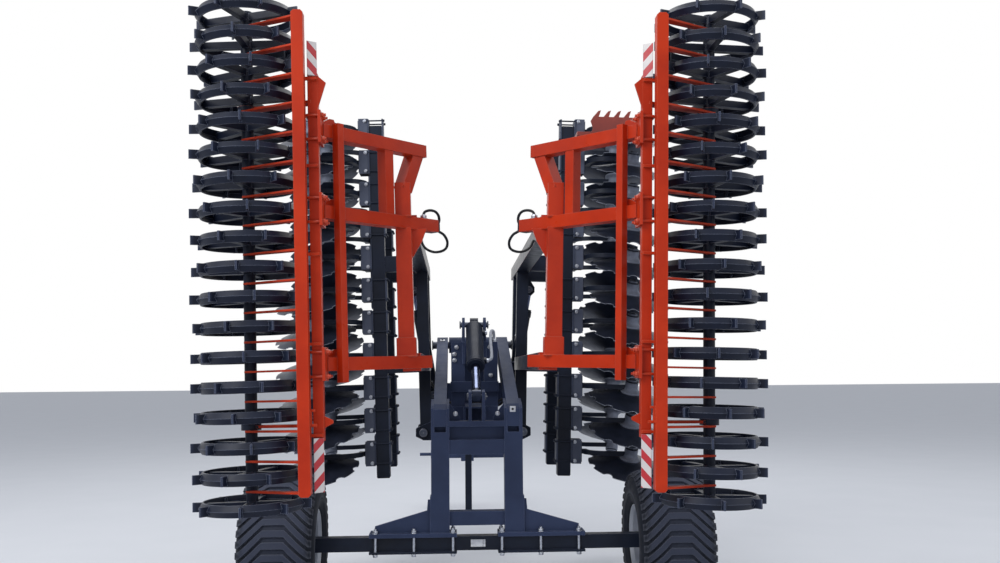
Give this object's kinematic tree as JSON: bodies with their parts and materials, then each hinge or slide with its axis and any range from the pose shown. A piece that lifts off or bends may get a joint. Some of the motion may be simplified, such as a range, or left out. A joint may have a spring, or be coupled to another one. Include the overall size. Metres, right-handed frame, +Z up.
{
  "type": "disc harrow",
  "caption": "Trailed disc harrow with two hydraulically folded wings, two rows of toothed discs and a ring roller on each wing, standing folded on its wheels and parking leg.",
  "frame": {"origin": "on the ground under the middle of the machine's bounding box, folded for the road", "axes": "+X to the machine's right, +Y in the direction of travel towards the hitch, +Z up"},
  "size_m": [3.1222, 7.125, 3.6602],
  "materials": {
    "graphite_paint": "satin graphite paint",
    "orange_paint": "gloss orange-red paint",
    "black_paint": "satin black paint",
    "roller_steel": "blue-black primer, scuffed on the lugs",
    "disc_steel": "bare hardened steel",
    "bright_steel": "zinc-plated pins",
    "chrome_rod": "hard chrome",
    "rim_paint": "silver-grey rim paint",
    "tyre_rubber": "dusty rubber",
    "board_film": "red and white reflective film"
  },
  "bodies": {
    "centre": {"centre_frame": "graphite_paint", "hinge_pins": "bright_steel", "drawbar": "graphite_paint", "leg_sleeve": "graphite_paint", "valve_plate": "black_paint"},
    "parking_leg": {"parking_leg": "black_paint"},
    "hitch": {"hitch_bar": "graphite_paint"},
    "lift_barrel": {"lift_barrel": "black_paint"},
    "lift_rod": {"lift_rod": "chrome_rod"},
    "running_gear": {"running_frame": "graphite_paint", "axle": "black_paint"},
    "wheel_left": {"tyre_left": "tyre_rubber", "rim_left": "rim_paint"},
    "wing_left": {"wing_frame_left": "orange_paint", "disc_frame_left": "black_paint", "arm_clamps_left": "graphite_paint", "front_arms_left": "black_paint", "rear_arms_left": "black_paint", "front_discs_left": "disc_steel", "rear_discs_left": "disc_steel", "scraper_beam_left": "orange_paint", "marker_boards_left": "board_film"},
    "roller_left": {"roller_left": "roller_steel"},
    "fold_barrel_left": {"fold_barrel_left": "black_paint"},
    "fold_rod_left": {"fold_rod_left": "chrome_rod"},
    "wheel_right": {"tyre_right": "tyre_rubber", "rim_right": "rim_paint"},
    "wing_right": {"wing_frame_right": "orange_paint", "disc_frame_right": "black_paint", "arm_clamps_right": "graphite_paint", "front_arms_right": "black_paint", "rear_arms_right": "black_paint", "front_discs_right": "disc_steel", "rear_discs_right": "disc_steel", "scraper_beam_right": "orange_paint", "marker_boards_right": "board_film", "clod_rake": "orange_paint"},
    "roller_right": {"roller_right": "roller_steel"},
    "fold_barrel_right": {"fold_barrel_right": "black_paint"},
    "fold_rod_right": {"fold_rod_right": "chrome_rod"}
  },
  "joints": [
    {"name": "hitch_swivel", "type": "hinge", "parent": "centre", "child": "hitch", "pos_m": [0, 3.3275, 0.84], "axis": [0, 0, 1], "range_deg": [-50, 50]},
    {"name": "leg_slide", "type": "slide", "parent": "centre", "child": "parking_leg", "axis": [0, 0, 1], "range_m": [0, 0.24]},
    {"name": "gear_lift", "type": "hinge", "parent": "centre", "child": "running_gear", "pos_m": [0, -0.2325, 1.8], "axis": [-1, 0, 0], "range_deg": [0, 12]},
    {"name": "lift_barrel_pivot", "type": "hinge", "parent": "centre", "child": "lift_barrel", "pos_m": [0, -1.0825, 1.929], "axis": [-1, 0, 0], "range_deg": [0, 22.35]},
    {"name": "lift_rod_slide", "type": "slide", "parent": "lift_barrel", "child": "lift_rod", "axis": [0, 0.8309, 0.5565], "range_m": [0, 0.0949]},
    {"name": "wheel_left_spin", "type": "hinge", "parent": "running_gear", "child": "wheel_left", "pos_m": [-1.26, -1.7825, 0.466], "axis": [-1, 0, 0], "continuous": true},
    {"name": "wing_left_fold", "type": "hinge", "parent": "centre", "child": "wing_left", "pos_m": [-0.39, -0.2825, 1.11], "axis": [0, -1, 0], "range_deg": [0, 88.5]},
    {"name": "roller_left_spin", "type": "hinge", "parent": "wing_left", "child": "roller_left", "pos_m": [-1.18073, -3.2625, 1.08929], "axis": [-0.0262, 0, 0.9997], "continuous": true},
    {"name": "fold_barrel_left_pivot", "type": "hinge", "parent": "centre", "child": "fold_barrel_left", "pos_m": [-0.318, -0.2825, 1.4], "axis": [0, -1, 0], "range_deg": [0, 95.72]},
    {"name": "fold_rod_left_slide", "type": "slide", "parent": "fold_barrel_left", "child": "fold_rod_left", "axis": [-0.1762, 0, 0.9844], "range_m": [0, 0.398]},
    {"name": "wheel_right_spin", "type": "hinge", "parent": "running_gear", "child": "wheel_right", "pos_m": [1.26, -1.7825, 0.466], "axis": [-1, 0, 0], "continuous": true},
    {"name": "wing_right_fold", "type": "hinge", "parent": "centre", "child": "wing_right", "pos_m": [0.39, -0.2825, 1.11], "axis": [0, 1, 0], "range_deg": [0, 88.5]},
    {"name": "roller_right_spin", "type": "hinge", "parent": "wing_right", "child": "roller_right", "pos_m": [1.18073, -3.2625, 1.08929], "axis": [0.0262, 0, 0.9997], "continuous": true},
    {"name": "fold_barrel_right_pivot", "type": "hinge", "parent": "centre", "child": "fold_barrel_right", "pos_m": [0.318, -0.2825, 1.4], "axis": [0, 1, 0], "range_deg": [0, 95.72]},
    {"name": "fold_rod_right_slide", "type": "slide", "parent": "fold_barrel_right", "child": "fold_rod_right", "axis": [0.1762, 0, 0.9844], "range_m": [0, 0.398]}
  ],
  "couplings": [
    {"joint": "lift_barrel_pivot", "follows": "gear_lift", "ratio": 1.8455},
    {"joint": "lift_rod_slide", "follows": "gear_lift", "m_per_rad": 0.44846},
    {"joint": "fold_barrel_left_pivot", "follows": "wing_left_fold", "ratio": 1.0794},
    {"joint": "fold_rod_left_slide", "follows": "wing_left_fold", "m_per_rad": 0.25703},
    {"joint": "fold_barrel_right_pivot", "follows": "wing_right_fold", "ratio": 1.0794},
    {"joint": "fold_rod_right_slide", "follows": "wing_right_fold", "m_per_rad": 0.25703}
  ]
}
